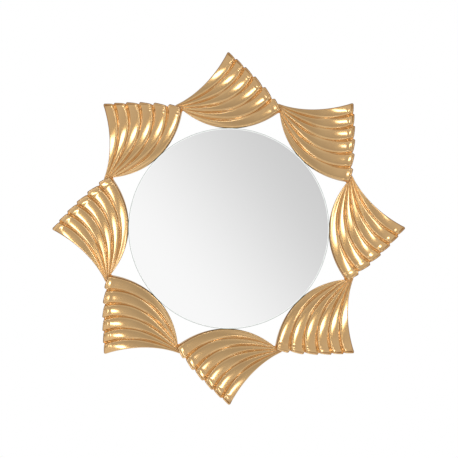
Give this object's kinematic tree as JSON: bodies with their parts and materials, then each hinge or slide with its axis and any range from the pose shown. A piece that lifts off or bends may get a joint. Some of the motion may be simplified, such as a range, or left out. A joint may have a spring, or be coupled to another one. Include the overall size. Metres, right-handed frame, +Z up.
{
  "type": "wall mirror",
  "caption": "Round frameless mirror set in a sunburst of fluted fan shells, with a carrier frame, rubber bumpers and swinging hanging rings behind.",
  "frame": {"origin": "middle of the mirror on the wall plane, where the bumpers' rear faces lie", "axes": "+X right and +Z up as seen from the room, +Y into the wall, so the mirror faces -Y"},
  "size_m": [0.9806, 0.0355, 0.9806],
  "materials": {
    "mirror_glass": "silvered float glass with a polished narrow bevel",
    "fan_gold": "pressed sheet, polished and gold plated",
    "panel": "medium density fibreboard, black lacquered",
    "foam": "double-sided foam tape",
    "frame_steel": "flat steel bar, matt black powder coat",
    "screw_steel": "zinc plated steel",
    "hanger_steel": "folded steel strip, nickel plated",
    "hanger_wire": "bent steel wire, nickel plated",
    "bumper": "moulded black rubber"
  },
  "bodies": {
    "mirror": {"mirror_glass": "mirror_glass", "foam_pads": "foam", "backing_panel": "panel", "fan_1": "fan_gold", "fan_2": "fan_gold", "fan_3": "fan_gold", "fan_4": "fan_gold", "fan_5": "fan_gold", "fan_6": "fan_gold", "fan_7": "fan_gold", "fan_8": "fan_gold", "bar_1": "frame_steel", "bar_2": "frame_steel", "bar_3": "frame_steel", "bar_4": "frame_steel", "bar_5": "frame_steel", "bar_6": "frame_steel", "bar_7": "frame_steel", "bar_8": "frame_steel", "spoke_1": "frame_steel", "spoke_2": "frame_steel", "spoke_3": "frame_steel", "spoke_4": "frame_steel", "spoke_5": "frame_steel", "spoke_6": "frame_steel", "spoke_7": "frame_steel", "spoke_8": "frame_steel", "fan_posts": "frame_steel", "post_screws": "screw_steel", "spoke_screws": "screw_steel", "wall_bumpers": "bumper", "hanger_strap_left": "hanger_steel", "hanger_strap_right": "hanger_steel", "hanger_screws": "screw_steel"},
    "ring_left": {"hanger_ring_left": "hanger_wire"},
    "ring_right": {"hanger_ring_right": "hanger_wire"}
  },
  "joints": [
    {"name": "ring_left_swing", "type": "hinge", "parent": "mirror", "child": "ring_left", "pos_m": [-0.115, -0.00515, 0.125], "axis": [1, 0, 0], "range_deg": [0, 180]},
    {"name": "ring_right_swing", "type": "hinge", "parent": "mirror", "child": "ring_right", "pos_m": [0.115, -0.00515, 0.125], "axis": [1, 0, 0], "range_deg": [0, 180]}
  ]
}
